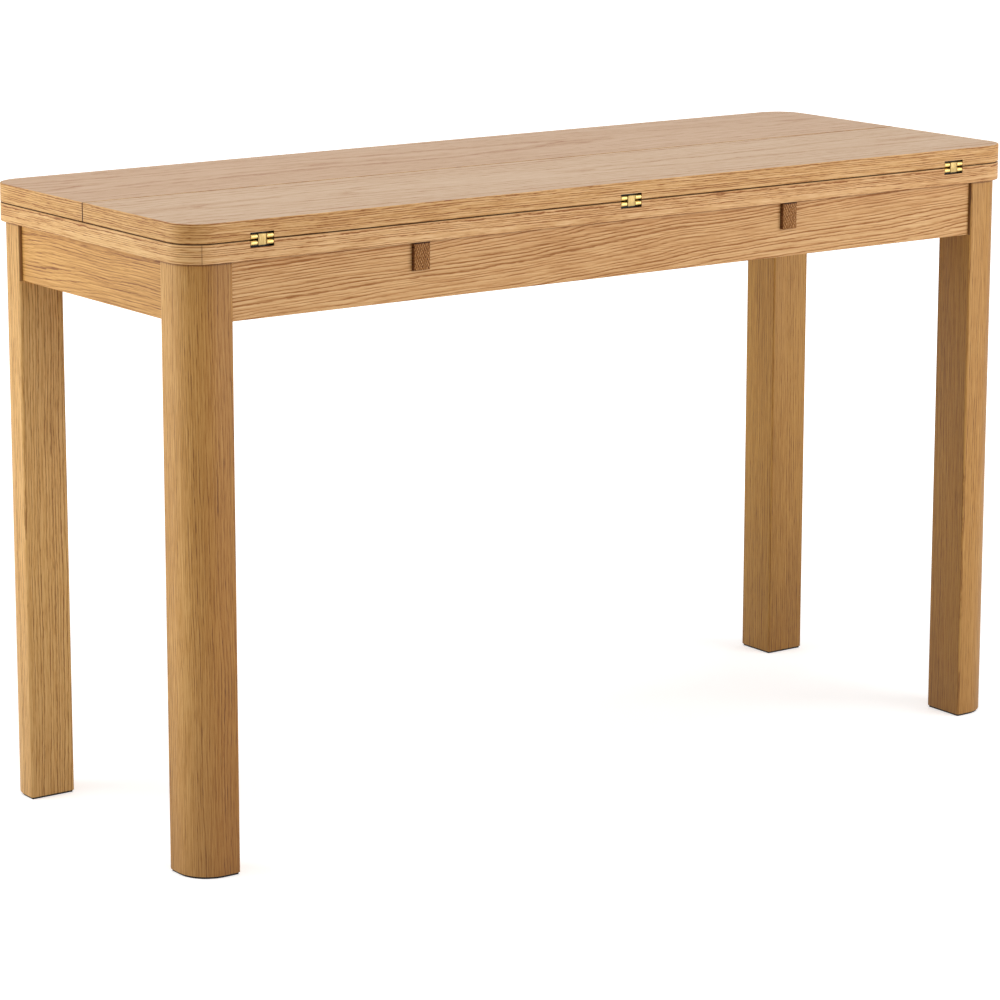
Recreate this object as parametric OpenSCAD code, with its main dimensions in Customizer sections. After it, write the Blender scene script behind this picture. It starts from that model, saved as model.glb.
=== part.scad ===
// Console table whose top opens out to a dining table.
// A fixed board carries two folding leaves, front and rear. Each leaf turns
// over its long edge on brass double-pin hinges and then lies level with the
// fixed board, on two supports that are pulled out from under it.
// Origin: on the floor, below the middle of the closed top. +X is to the
// right, +Y to the rear and +Z up.

/* [Top] */
// Length of the top, left to right
top_len = 1228; // [1000:1:1500]
// Depth of the closed top, front to rear
top_dep = 452; // [400:1:520]
// Height of the closed table
table_h = 750; // [700:1:780]
// Thickness of the fixed board, and of each leaf
board_t = 22; // [19:0.5:28]
// Radius of the top's corners in plan
top_corner_r = 39; // [25:1:55]
// Gap between the fixed board and the closed leaves
seam_gap = 1; // [0.9:0.05:1.3]
// Gap between the two closed leaves
leaf_gap = 1.5; // [1:0.1:3]
// Thickness of the solid edge band round each board
band_t = 2; // [1.6:0.1:3]
// Rounding of the edges that meet at the seam
seam_arris = 1.2; // [1:0.05:1.4]
// Rounding of the edges that face away from the seam
face_arris = 0.8; // [0.4:0.1:1.4]
// Place of the edge band's butt joint, as a turn round the front left corner
band_joint_turn = 24; // [5:1:85]
// Width of the edge band's butt joint
band_joint_w = 0.2; // [0.1:0.05:0.4]
// Diameter of the bumper pads between leaf and fixed board
bumper_d = 10; // [6:0.5:14]
// Distance of the bumper pads from the leaf's free edge and ends
bumper_off = 24; // [16:1:40]

/* [Legs] */
// Width of the square leg
leg_w = 59; // [52:1:70]
// Radius of the leg's outer corner
leg_corner_r = 39; // [20:1:45]
// Radius of the leg's other three corners
leg_edge_r = 3; // [1:0.5:5]
// Distance of the leg's faces inside the edge of the top
leg_inset = 4.4; // [2:0.2:10]
// Width of the flat that the leg's inner corner has behind the apron
leg_flat_w = 22; // [16:1:28]
// Thickness of the foot pads
pad_t = 2.5; // [1.5:0.5:5]
// Distance of the foot pads inside the leg's faces
pad_margin = 2; // [2:0.5:10]

/* [Aprons] */
// Height of the aprons
apron_h = 68; // [60:1:90]
// Thickness of the aprons
apron_t = 20; // [16:1:24]
// Distance of the aprons behind the leg's faces
apron_setback = 5; // [2:0.5:8]
// Rounding of the aprons' lower edges
apron_arris = 1.5; // [0.5:0.5:3]

/* [Corner joint] */
// Thickness of the corner blocks
block_t = 24; // [18:1:30]
// Distance of a corner block from the leg's flat
block_gap = 8; // [5:1:14]
// Radius of the hanger bolts
bolt_r = 4; // [3:0.5:5]
// Depth of the hanger bolts in the leg
bolt_depth = 24; // [16:1:28]
// Height between the two hanger bolts of a leg
bolt_pitch = 30; // [24:1:34]
// Height of the hanger bolts' nuts
nut_t = 6.5; // [5:0.5:8]
// Thickness of the washers
washer_t = 1.6; // [1:0.2:2.4]

/* [Pull-out supports] */
// Width of a support
support_w = 22; // [18:1:26]
// Height of a support
support_h = 33; // [28:1:38]
// Distance between the two supports of a pair, centre to centre
support_pitch = 47.8; // [44:0.2:60]
// Distance of each pair's middle from the middle of the table
pair_x = 273.6; // [200:0.2:360]
// How far a support pulls out
support_travel = 180; // [120:5:190]
// Gap at each side of a support
side_gap = 0.5; // [0.3:0.1:1]
// Gap above and below a support
run_gap = 0.4; // [0.3:0.1:0.8]
// Distance of a support's inner end from the far apron
support_end_gap = 18; // [8:1:30]
// Width of the outer guide rails
rail_w = 22; // [16:1:30]
// Thickness of the keeper boards below the supports
keeper_t = 9; // [6:0.5:12]
// Radius of the stop dowels
stop_r = 4; // [3:0.5:5]
// Distance of a stop dowel from its support's inner end
stop_off = 28; // [20:1:40]
// Gap between a stop dowel and its slot
stop_gap = 0.5; // [0.3:0.1:0.8]

/* [Hinges] */
// Width of a hinge along the edge
hinge_w = 30; // [26:1:36]
// Distance of the end hinges from the ends of the top
hinge_end_off = 99; // [80:1:160]
// Width of the middle link of a hinge
link_w = 10.6; // [8:0.2:12]
// Gap at each side of the link
link_gap = 0.6; // [0.2:0.05:0.8]
// Depth of a hinge pin below the face of its board
pin_depth = 3.1; // [3:0.05:3.4]
// Room that the seam edges keep from each other as the leaf swings
swing_gap = 0.3; // [0.1:0.05:0.35]
// Radius of the hinge barrels
barrel_r = 2.85; // [2.5:0.05:2.9]
// Radius of the hinge pins
pin_r = 1.3; // [1:0.05:1.5]
// Running gap of a pin in its link
pin_run = 0.06; // [0.03:0.01:0.09]
// Thickness of the hinge plates
plate_t = 2.2; // [1.8:0.1:2.4]
// Reach of a hinge plate in from the edge
plate_reach = 32; // [26:1:40]
// Depth of the hinge's pocket below the face of its board
pocket_depth = 8; // [6.8:0.1:9]
// Gap round a hinge plate in its recess
recess_gap = 0.5; // [0.2:0.1:0.6]

/* [Fasteners] */
// Shank radius of the hinge screws and bracket screws
screw_r = 1.75; // [1.25:0.25:2]
// Head radius of the hinge screws and bracket screws
screw_head_r = 3.4; // [2.8:0.1:3.8]
// Length of the hinge screws and bracket screws
screw_l = 13; // [10:0.5:14]
// Shank radius of the long keeper screws
long_screw_r = 2.2; // [1.75:0.05:2.5]
// Head radius of the long keeper screws
long_head_r = 4.3; // [3.6:0.1:5]
// Depth of the long keeper screws in the fixed board
long_bite = 12; // [8:0.5:14]
// Gap round a screw in its hole
screw_gap = 0.08; // [0.05:0.01:0.15]
// Width and length of the top brackets' arms
bracket_w = 20; // [16:1:24]
// Thickness of the top brackets
bracket_t = 2; // [1.5:0.1:2.5]

/* [Hidden] */
$fn = 48;

// Allowance by which a cutter runs past the face that it opens
over = 1;

// Heights, from the top down
leaf_face_z = table_h - board_t;
fixed_face_z = leaf_face_z - seam_gap;
frame_z = fixed_face_z - board_t;
apron_z = frame_z - apron_h;

// Plan places of the frame, as distances from the middle
leg_out_x = top_len / 2 - leg_inset;
leg_out_y = top_dep / 2 - leg_inset;
leg_in_x = leg_out_x - leg_w;
leg_in_y = leg_out_y - leg_w;
apron_in_x = leg_out_x - apron_setback - apron_t;
apron_in_y = leg_out_y - apron_setback - apron_t;

// Supports
support_len = leg_out_y + apron_in_y - support_end_gap;
support_top_z = frame_z - run_gap;
support_z = support_top_z - support_h;
keeper_top_z = support_z - run_gap;
keeper_z = keeper_top_z - keeper_t;
channel_w = support_w + 2 * side_gap;
middle_rail_w = support_pitch - channel_w;
keeper_w = support_pitch + channel_w + 2 * rail_w;
outer_rail_off = (support_pitch + channel_w + rail_w) / 2;
stop_y = -leg_out_y + support_len - stop_off;

// Hinges: the pins lie this far in from the edge, so that the rounded seam
// edges of leaf and fixed board pass each other with swing_gap between them
pin_inset = seam_arris + sqrt(
    pow(pin_depth + (seam_gap - swing_gap) / 2 - seam_arris, 2)
    - pow(pin_depth - seam_arris, 2));
pin_pitch = 2 * pin_depth + seam_gap;
hinge_xs = [-top_len / 2 + hinge_end_off, 0, top_len / 2 - hinge_end_off];
knuckle_w = (hinge_w - link_w) / 2 - link_gap;
plate_top = pin_depth - barrel_r + 0.15;
pocket_u = pin_inset + barrel_r + 1.2;
hinge_screw_xs = [-hinge_w * 0.28, hinge_w * 0.28];
hinge_screw_u = (pocket_u + plate_reach) / 2 + 1;

// Long screws through each keeper and its rails, along the depth
long_screw_ys = [-apron_in_y * 0.84, 0, apron_in_y * 0.84];
long_screw_l = keeper_t + (frame_z - keeper_top_z) + long_bite;

// Top brackets: [x, y, turn] of each bracket's corner, its arms facing inwards
bracket_end_x = (leg_in_x + pair_x) / 2 + 20;
bracket_places = concat(
    [for (x = [-bracket_end_x, 0, bracket_end_x]) [x, -apron_in_y, 0]],
    [for (x = [-bracket_end_x, 0, bracket_end_x]) [x, apron_in_y, 180]],
    [[-apron_in_x, 0, -90], [apron_in_x, 0, 90]]);

// Corner joint: distances along the diagonal, from the leg's outer corner
flat_diag = leg_w * sqrt(2) - leg_flat_w / 2;
block_diag = flat_diag + block_gap;
bolt_end_diag = block_diag + block_t + washer_t + nut_t + 4;
bolt_zs = [for (s = [-1, 1]) frame_z - apron_h / 2 + s * bolt_pitch / 2];

oak_top = [0.83, 0.72, 0.6];
oak_edge = [0.79, 0.61, 0.42];
oak_leg = [0.76, 0.59, 0.4];
oak_apron = [0.8, 0.63, 0.44];
dark_wood = [0.5, 0.33, 0.18];
plain_wood = [0.85, 0.75, 0.58];
brass = [0.88, 0.76, 0.42];
zinc = [0.72, 0.73, 0.75];
pad_black = [0.09, 0.09, 0.09];
felt = [0.45, 0.38, 0.3];

// Boards and their edging

// Plan of a board from corner p to corner q, rounded by r at the listed corners,
// each given by the signs of its side
module board_plan(p, q, r, corners) {
    difference() {
        translate(p) square(q - p);
        for (c = corners)
            corner_cut([c[0] < 0 ? p[0] : q[0], c[1] < 0 ? p[1] : q[1]], -c[0], -c[1], r);
    }
}

// What the rounding r takes off the corner p, whose inside lies along sx, sy
module corner_cut(p, sx, sy, r) {
    translate(p) mirror([sx < 0 ? 1 : 0, 0]) mirror([0, sy < 0 ? 1 : 0])
        difference() {
            translate([-over, -over]) square(r + over);
            translate([r, r]) circle(r, $fn = 96);
        }
}

// Section of the edging: width w to its outer face, height board_t, with the
// outer arrises rounded by r_low and r_high
module band_section(w, r_low, r_high) {
    difference() {
        translate([-w, 0]) square([w, board_t]);
        arris_cut(0, r_low, -1);
        arris_cut(board_t, r_high, 1);
    }
}

// What the rounding takes off the corner at height h; side is -1 low, 1 high
module arris_cut(h, r, side) {
    difference() {
        translate([-r, side < 0 ? h - over : h - r]) square([r + over, r + over]);
        translate([-r, h - side * r]) circle(r, $fn = 32);
    }
}

// A straight run of edging from a to b, its outer face on the left going on
module band_run(a, b, r_low, r_high) {
    d = b - a;
    translate([a[0], a[1], 0]) rotate([0, 0, atan2(d[1], d[0])])
        rotate([90, 0, 90])
            linear_extrude(norm(d)) band_section(band_t, r_low, r_high);
}

// A quarter turn of edging round the centre c, starting at angle a
module band_turn(c, a, r_low, r_high) {
    translate([c[0], c[1], 0]) rotate([0, 0, a])
        rotate_extrude(angle = 90, $fn = 96)
            translate([top_corner_r, 0]) band_section(band_t, r_low, r_high);
}

// Edging all round the fixed board, with one butt joint at its front left corner
module fixed_band() {
    hx = top_len / 2;
    hy = top_dep / 2;
    r = top_corner_r;
    difference() {
        union() {
            band_run([hx - r, -hy], [-hx + r, -hy], face_arris, seam_arris);
            band_run([hx, hy - r], [hx, -hy + r], face_arris, seam_arris);
            band_run([-hx + r, hy], [hx - r, hy], face_arris, seam_arris);
            band_run([-hx, -hy + r], [-hx, hy - r], face_arris, seam_arris);
            for (c = [[-1, -1, 180], [1, -1, 270], [1, 1, 0], [-1, 1, 90]])
                band_turn([c[0] * (hx - r), c[1] * (hy - r)], c[2],
                    face_arris, seam_arris);
        }
        translate([-hx + r, -hy + r, -over]) rotate([0, 0, 270 - band_joint_turn])
            translate([r - band_t - over, -band_joint_w / 2, 0])
                cube([band_t + 2 * over, band_joint_w, board_t + 2 * over]);
    }
}

// Edging of the front leaf: round its outer edge and ends, and along its free
// edge, which is a strip of its own
module leaf_band() {
    hx = top_len / 2;
    hy = top_dep / 2;
    r = top_corner_r;
    free_y = -leaf_gap / 2;
    band_run([hx - r, -hy], [-hx + r, -hy], seam_arris, face_arris);
    band_run([hx, free_y], [hx, -hy + r], seam_arris, face_arris);
    band_run([-hx, -hy + r], [-hx, free_y], seam_arris, face_arris);
    band_turn([-hx + r, -hy + r], 180, seam_arris, face_arris);
    band_turn([hx - r, -hy + r], 270, seam_arris, face_arris);
    band_run([-hx + band_t, free_y], [hx - band_t, free_y], seam_arris, face_arris);
}

// Cutter for one board's share of every hinge: u runs in from the edge at
// front, v down from the face, which lies at z = 0
module hinge_cut() {
    gap_w = hinge_w + 2 * recess_gap;
    for (x = hinge_xs) {
        translate([x - gap_w / 2, -over, -pocket_depth])
            cube([gap_w, pocket_u + over, pocket_depth + over]);
        translate([x - gap_w / 2, 0, -plate_top - plate_t])
            cube([gap_w, plate_reach + recess_gap, plate_top + plate_t + over]);
        for (sx = hinge_screw_xs)
            translate([x + sx, hinge_screw_u, -plate_top - screw_l - 1])
                cylinder(r = screw_r + screw_gap, h = screw_l + 1);
    }
}

// Puts what is drawn for hinge_cut on the fixed board's front half, and turns
// it over for the front leaf's
module on_fixed() translate([0, -top_dep / 2, fixed_face_z]) children();
module on_leaf() translate([0, -top_dep / 2, leaf_face_z]) mirror([0, 0, 1]) children();

// Half turn about the table's middle, for the rear's copy of a front piece
module rear() rotate([0, 0, 180]) children();

module fixed_board() {
    half = [top_len, top_dep] / 2 - [band_t, band_t];
    color(oak_top) difference() {
        translate([0, 0, frame_z]) linear_extrude(board_t)
            board_plan(-half, half, top_corner_r - band_t,
                [[-1, -1], [1, -1], [1, 1], [-1, 1]]);
        on_fixed() hinge_cut();
        rear() on_fixed() hinge_cut();
        long_screw_holes(frame_z - over, long_bite + over + 1);
        for (p = bracket_places) at_bracket(p) translate([0, bracket_w / 2, -over])
            cylinder(r = screw_r + screw_gap, h = screw_l + over);
    }
}

module fixed_board_edging() {
    color(oak_edge) difference() {
        translate([0, 0, frame_z]) fixed_band();
        on_fixed() hinge_cut();
        rear() on_fixed() hinge_cut();
    }
}

module front_leaf() {
    hx = top_len / 2 - band_t;
    color(oak_top) difference() {
        translate([0, 0, leaf_face_z]) linear_extrude(board_t)
            board_plan([-hx, -top_dep / 2 + band_t], [hx, -leaf_gap / 2 - band_t],
                top_corner_r - band_t, [[-1, -1], [1, -1]]);
        on_leaf() hinge_cut();
    }
}

module front_leaf_edging() {
    color(oak_edge) difference() {
        translate([0, 0, leaf_face_z]) leaf_band();
        on_leaf() hinge_cut();
    }
}

// Pads on the leaf's seam face, near its free edge
module front_leaf_bumpers() {
    pad_h = seam_gap - 0.1;
    far_x = top_len / 2 - bumper_off;
    color(felt) for (x = [-far_x, 0, far_x])
        translate([x, -leaf_gap / 2 - bumper_off, leaf_face_z - pad_h])
            cylinder(d = bumper_d, h = pad_h);
}

// Legs, drawn for the front left with the outer corner at the origin and
// placed by two signs

module at_leg(sx, sy) {
    translate([sx * leg_out_x, sy * leg_out_y, 0])
        mirror([sx > 0 ? 1 : 0, 0, 0]) mirror([0, sy > 0 ? 1 : 0, 0]) children();
}

// Section of the leg, and of anything inside its faces by m
module leg_section(m) {
    w = leg_w - m;
    big = max(leg_corner_r - m, 1);
    small = max(leg_edge_r - m, 0.5);
    difference() {
        translate([m, m]) square(w - m);
        corner_cut([m, m], 1, 1, big);
        corner_cut([w, m], -1, 1, small);
        corner_cut([m, w], 1, -1, small);
        corner_cut([w, w], -1, -1, small);
    }
}

module leg(sx, sy) {
    color(oak_leg) at_leg(sx, sy) difference() {
        translate([0, 0, pad_t]) linear_extrude(frame_z - pad_t) leg_section(0);
        // The inner corner is a flat behind the aprons, for the corner block
        along_diagonal(flat_diag) translate([0, -leg_w, apron_z])
            cube([leg_w, 2 * leg_w, apron_h + over]);
        for (z = bolt_zs) along_diagonal(flat_diag - bolt_depth)
            translate([0, 0, z]) rotate([0, 90, 0])
                cylinder(r = bolt_r + screw_gap, h = bolt_depth + over);
    }
}

// Turns +X to run inwards along the leg's diagonal, from distance d
module along_diagonal(d) rotate([0, 0, 45]) translate([d, 0, 0]) children();

module foot_pad(sx, sy) {
    color(pad_black) at_leg(sx, sy) linear_extrude(pad_t) leg_section(pad_margin);
}

// Aprons

// Section of an apron: y from its outer face inwards, z up
module apron_section() {
    difference() {
        square([apron_t, apron_h]);
        corner_cut([0, 0], 1, 1, apron_arris);
        corner_cut([apron_t, 0], -1, 1, apron_arris);
    }
}

// Long apron at the front, with a notch for each front support
module long_apron() {
    difference() {
        translate([-leg_in_x, -leg_out_y + apron_setback, apron_z])
            rotate([90, 0, 90]) linear_extrude(2 * leg_in_x) apron_section();
        for (x = [support_x(-1), support_x(1)])
            translate([x - channel_w / 2, -leg_out_y, keeper_top_z])
                cube([channel_w, 2 * apron_t, frame_z - keeper_top_z + over]);
        for (x = [-bracket_end_x, 0, bracket_end_x]) at_bracket([x, -apron_in_y, 0])
            bracket_screw_hole();
    }
}

module short_apron(side) {
    color(oak_apron) difference() {
        rotate([0, 0, side > 0 ? 180 : 0])
            translate([-leg_out_x + apron_setback, leg_in_y, apron_z])
                rotate([90, 0, 0]) linear_extrude(2 * leg_in_y) apron_section();
        at_bracket([side * apron_in_x, 0, side * 90]) bracket_screw_hole();
    }
}

// Corner joint

// A block across the corner, its ends flat against both aprons
module corner_block(sx, sy) {
    inner = apron_setback + apron_t;
    d0 = block_diag;
    d1 = block_diag + block_t;
    color(plain_wood) at_leg(sx, sy) difference() {
        intersection() {
            along_diagonal(d0) translate([0, -2 * leg_w, apron_z + 4])
                cube([block_t, 4 * leg_w, apron_h - 8]);
            translate([inner, inner, 0]) cube([3 * leg_w, 3 * leg_w, table_h]);
        }
        for (z = bolt_zs) along_diagonal(d0 - over) translate([0, 0, z])
            rotate([0, 90, 0]) cylinder(r = bolt_r + 0.5, h = d1 - d0 + 2 * over);
    }
}

// Copies a fastener to both bolts of every leg, +Z along the diagonal
module at_bolts(d) {
    for (sx = [-1, 1], sy = [-1, 1], z = bolt_zs) at_leg(sx, sy)
        along_diagonal(d) translate([0, 0, z]) rotate([0, 90, 0]) children();
}

module hanger_bolts() {
    length = bolt_end_diag - flat_diag + bolt_depth;
    color(zinc) at_bolts(flat_diag - bolt_depth) union() {
        translate([0, 0, 1]) cylinder(r = bolt_r, h = length - 2);
        cylinder(r1 = bolt_r - 1, r2 = bolt_r, h = 1);
        translate([0, 0, length - 1]) cylinder(r1 = bolt_r, r2 = bolt_r - 1, h = 1);
    }
}

module bolt_washers() {
    color(zinc) at_bolts(block_diag + block_t) difference() {
        cylinder(r = bolt_r * 2.2, h = washer_t);
        translate([0, 0, -over]) cylinder(r = bolt_r + 0.3, h = washer_t + 2 * over);
    }
}

module bolt_nuts() {
    color(zinc) at_bolts(block_diag + block_t + washer_t) difference() {
        cylinder(r = bolt_r * 1.86, h = nut_t, $fn = 6);
        translate([0, 0, -over]) cylinder(r = bolt_r + 0.1, h = nut_t + 2 * over);
    }
}

// Pull-out supports and their guides

// Middle of a front support; the rear ones are half a turn round
function support_x(side) = side * pair_x - support_pitch / 2;

module guide_rail(side, off, w) {
    color(plain_wood) difference() {
        translate([side * pair_x + off - w / 2, -apron_in_y, keeper_top_z])
            cube([w, 2 * apron_in_y, frame_z - keeper_top_z]);
        long_screw_holes(keeper_top_z - over, frame_z - keeper_top_z + 2 * over);
    }
}

// Holes for all the long screws, from height z over a height h
module long_screw_holes(z, h) {
    at_long_screws() translate([0, 0, z]) cylinder(r = long_screw_r + screw_gap, h = h);
}

module at_long_screws() {
    for (side = [-1, 1], off = [-outer_rail_off, 0, outer_rail_off], y = long_screw_ys)
        translate([side * pair_x + off, y, 0]) children();
}

// Board below a pair of supports, with a slot for each stop dowel
module keeper(side) {
    x = side * pair_x;
    color(plain_wood) difference() {
        translate([x - keeper_w / 2, -apron_in_y, keeper_z])
            cube([keeper_w, 2 * apron_in_y, keeper_t]);
        stop_slot(x - support_pitch / 2);
        rear() stop_slot(-x - support_pitch / 2);
        long_screw_holes(keeper_z - over, keeper_t + 2 * over);
        at_long_screws() translate([0, 0, keeper_z - screw_gap])
            cylinder(r1 = long_head_r + 2 * screw_gap, r2 = long_screw_r + screw_gap,
                h = long_head_r - long_screw_r + screw_gap);
    }
}

// Slot for the stop dowel of a front support whose middle is at x
module stop_slot(x) {
    r = stop_r + stop_gap;
    translate([x, 0, keeper_z - over]) {
        for (y = [stop_y, stop_y - support_travel])
            translate([0, y, 0]) cylinder(r = r, h = keeper_t + 2 * over);
        translate([-r + 0.02, stop_y - support_travel, 0])
            cube([2 * r - 0.04, support_travel, keeper_t + 2 * over]);
    }
}

module keeper_screws() {
    color(zinc) at_long_screws() translate([0, 0, keeper_z]) difference() {
        union() {
            cylinder(r1 = long_head_r, r2 = long_screw_r, h = long_head_r - long_screw_r);
            cylinder(r = long_screw_r, h = long_screw_l);
        }
        translate([0, 0, -over]) cube([0.9, 2 * long_head_r, 2 * over + 1], center = true);
    }
}

// Front support with a bevel round its outer end and the stop dowel's hole
module support(side) {
    x = support_x(side);
    bevel = 1;
    color(dark_wood) difference() {
        translate([x - support_w / 2, -leg_out_y, support_z])
            cube([support_w, support_len, support_h]);
        for (s = [-1, 1]) {
            translate([x + s * support_w / 2, -leg_out_y, support_z - over])
                rotate([0, 0, 45]) translate([-bevel / sqrt(2), -bevel / sqrt(2), 0])
                    cube([bevel * sqrt(2), bevel * sqrt(2), support_h + 2 * over]);
            translate([x - support_w / 2 - over, -leg_out_y,
                s < 0 ? support_z : support_top_z])
                rotate([45, 0, 0]) translate([0, -bevel / sqrt(2), -bevel / sqrt(2)])
                    cube([support_w + 2 * over, bevel * sqrt(2), bevel * sqrt(2)]);
        }
        translate([x, stop_y, support_z - over]) cylinder(r = stop_r, h = 16 + over);
    }
}

module stop_dowel(side) {
    low = keeper_z + 2;
    color(plain_wood) translate([support_x(side), stop_y, low])
        cylinder(r = stop_r - 0.02, h = support_z + 15.5 - low);
}

// Top brackets

// Puts a bracket's corner at a place, on the underside of the top
module at_bracket(p) translate([p[0], p[1], frame_z]) rotate([0, 0, p[2]]) children();

// Hole for the screw into the apron
module bracket_screw_hole() {
    translate([0, over, -bracket_w / 2]) rotate([90, 0, 0])
        cylinder(r = screw_r + screw_gap, h = screw_l + over);
}

module top_brackets() {
    color(zinc) for (p = bracket_places) at_bracket(p) difference() {
        union() {
            translate([-bracket_w / 2, 0, -bracket_t])
                cube([bracket_w, bracket_w, bracket_t]);
            translate([-bracket_w / 2, 0, -bracket_w])
                cube([bracket_w, bracket_t, bracket_w]);
        }
        translate([0, bracket_w / 2, -bracket_t - over])
            cylinder(r = screw_r + 0.2, h = bracket_t + 2 * over);
        translate([0, bracket_t + over, -bracket_w / 2]) rotate([90, 0, 0])
            cylinder(r = screw_r + 0.2, h = bracket_t + 2 * over);
    }
}

module bracket_screws() {
    color(zinc) for (p = bracket_places) at_bracket(p) {
        translate([0, bracket_w / 2, -bracket_t]) round_head_screw();
        translate([0, bracket_t, -bracket_w / 2]) rotate([90, 0, 0]) round_head_screw();
    }
}

// Screw whose head lies on z = 0 and whose shank runs up
module round_head_screw() {
    head_h = 2.2;
    difference() {
        union() {
            translate([0, 0, -head_h]) cylinder(r1 = screw_head_r * 0.6, r2 = screw_head_r,
                h = head_h);
            cylinder(r = screw_r, h = screw_l);
        }
        translate([0, 0, -head_h]) cube([0.8, 2 * screw_head_r, 1.6], center = true);
    }
}

// Hinges, drawn as hinge_cut is: u in from the edge along y, the face at z = 0

// The pin line of one board's share
module at_pin(x) translate([x, pin_inset, -pin_depth]) rotate([0, 90, 0]) children();

// Plate with two knuckles, countersunk for its screws
module hinge_plate(x) {
    plate_u = pin_inset + barrel_r + 0.35;
    ends = [[-hinge_w / 2, knuckle_w], [hinge_w / 2 - knuckle_w, knuckle_w]];
    difference() {
        union() {
            translate([x - hinge_w / 2, plate_u, -plate_top - plate_t])
                cube([hinge_w, plate_reach - plate_u, plate_t]);
            for (e = ends) {
                translate([x + e[0], pin_inset, -plate_top - plate_t])
                    cube([e[1], plate_u - pin_inset + over, plate_t]);
                at_pin(x + e[0]) cylinder(r = barrel_r, h = e[1]);
            }
        }
        at_pin(x - hinge_w / 2 - over)
            cylinder(r = pin_r + 0.02, h = hinge_w + 2 * over);
        for (sx = hinge_screw_xs)
            translate([x + sx, hinge_screw_u, -plate_top]) hinge_screw_sink();
    }
}

// Countersunk hole down from z = 0
module hinge_screw_sink() {
    translate([0, 0, -plate_t - over]) cylinder(r = screw_r + screw_gap, h = plate_t + 2 * over);
    translate([0, 0, -(screw_head_r - screw_r)])
        cylinder(r1 = screw_r + screw_gap, r2 = screw_head_r + screw_gap + 0.02,
            h = screw_head_r - screw_r + 0.02);
}

module hinge_plates() {
    color(brass) for (x = hinge_xs) hinge_plate(x);
}

module hinge_pins() {
    color(brass) for (x = hinge_xs) at_pin(x - hinge_w / 2) cylinder(r = pin_r, h = hinge_w);
}

module hinge_screws() {
    color(brass) for (x = hinge_xs, sx = hinge_screw_xs)
        translate([x + sx, hinge_screw_u, -plate_top]) difference() {
            union() {
                translate([0, 0, -(screw_head_r - screw_r)])
                    cylinder(r1 = screw_r, r2 = screw_head_r, h = screw_head_r - screw_r);
                translate([0, 0, -screw_l]) cylinder(r = screw_r, h = screw_l - 1);
            }
            cube([0.8, 2 * screw_head_r + 1, 1.4], center = true);
        }
}

// Links between the fixed pins and the leaf's pins
module front_hinge_links() {
    flat = barrel_r - 0.05;
    color(brass) for (x = hinge_xs) difference() {
        union() {
            on_fixed() at_pin(x - link_w / 2) cylinder(r = barrel_r, h = link_w);
            on_leaf() at_pin(x - link_w / 2) cylinder(r = barrel_r, h = link_w);
            translate([x - link_w / 2, -top_dep / 2 + pin_inset - flat,
                fixed_face_z - pin_depth])
                cube([link_w, 2 * flat, pin_pitch]);
        }
        on_fixed() at_pin(x - link_w) cylinder(r = pin_r + pin_run, h = 2 * link_w);
        on_leaf() at_pin(x - link_w) cylinder(r = pin_r + pin_run, h = 2 * link_w);
    }
}

fixed_board();
fixed_board_edging();
front_leaf();
front_leaf_edging();
rear() front_leaf();  // rear_leaf
rear() front_leaf_edging();  // rear_leaf_edging
front_leaf_bumpers();
rear() front_leaf_bumpers();  // rear_leaf_bumpers
leg(-1, -1);  // leg_front_left
leg(1, -1);  // leg_front_right
leg(-1, 1);  // leg_rear_left
leg(1, 1);  // leg_rear_right
foot_pad(-1, -1);  // foot_pad_front_left
foot_pad(1, -1);  // foot_pad_front_right
foot_pad(-1, 1);  // foot_pad_rear_left
foot_pad(1, 1);  // foot_pad_rear_right
color(oak_apron) long_apron();  // apron_front
color(oak_apron) rear() long_apron();  // apron_rear
short_apron(-1);  // apron_left
short_apron(1);  // apron_right
corner_block(-1, -1);  // corner_block_front_left
corner_block(1, -1);  // corner_block_front_right
corner_block(-1, 1);  // corner_block_rear_left
corner_block(1, 1);  // corner_block_rear_right
hanger_bolts();
bolt_washers();
bolt_nuts();
guide_rail(-1, -outer_rail_off, rail_w);  // guide_rail_left_outer
guide_rail(-1, 0, middle_rail_w);  // guide_rail_left_middle
guide_rail(-1, outer_rail_off, rail_w);  // guide_rail_left_inner
guide_rail(1, -outer_rail_off, rail_w);  // guide_rail_right_inner
guide_rail(1, 0, middle_rail_w);  // guide_rail_right_middle
guide_rail(1, outer_rail_off, rail_w);  // guide_rail_right_outer
keeper(-1);  // keeper_left
keeper(1);  // keeper_right
keeper_screws();
top_brackets();
bracket_screws();
support(-1);  // support_front_left
support(1);  // support_front_right
rear() support(1);  // support_rear_left
rear() support(-1);  // support_rear_right
stop_dowel(-1);  // stop_dowel_front_left
stop_dowel(1);  // stop_dowel_front_right
rear() stop_dowel(1);  // stop_dowel_rear_left
rear() stop_dowel(-1);  // stop_dowel_rear_right
on_fixed() hinge_plates();  // front_fixed_hinge_plates
rear() on_fixed() hinge_plates();  // rear_fixed_hinge_plates
union() { on_fixed() hinge_pins(); rear() on_fixed() hinge_pins(); }  // fixed_hinge_pins
union() { on_fixed() hinge_screws(); rear() on_fixed() hinge_screws(); }  // fixed_hinge_screws
front_hinge_links();
rear() front_hinge_links();  // rear_hinge_links
on_leaf() hinge_plates();  // front_leaf_hinge_plates
rear() on_leaf() hinge_plates();  // rear_leaf_hinge_plates
on_leaf() hinge_pins();  // front_leaf_hinge_pins
rear() on_leaf() hinge_pins();  // rear_leaf_hinge_pins
on_leaf() hinge_screws();  // front_leaf_hinge_screws
rear() on_leaf() hinge_screws();  // rear_leaf_hinge_screws
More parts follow.
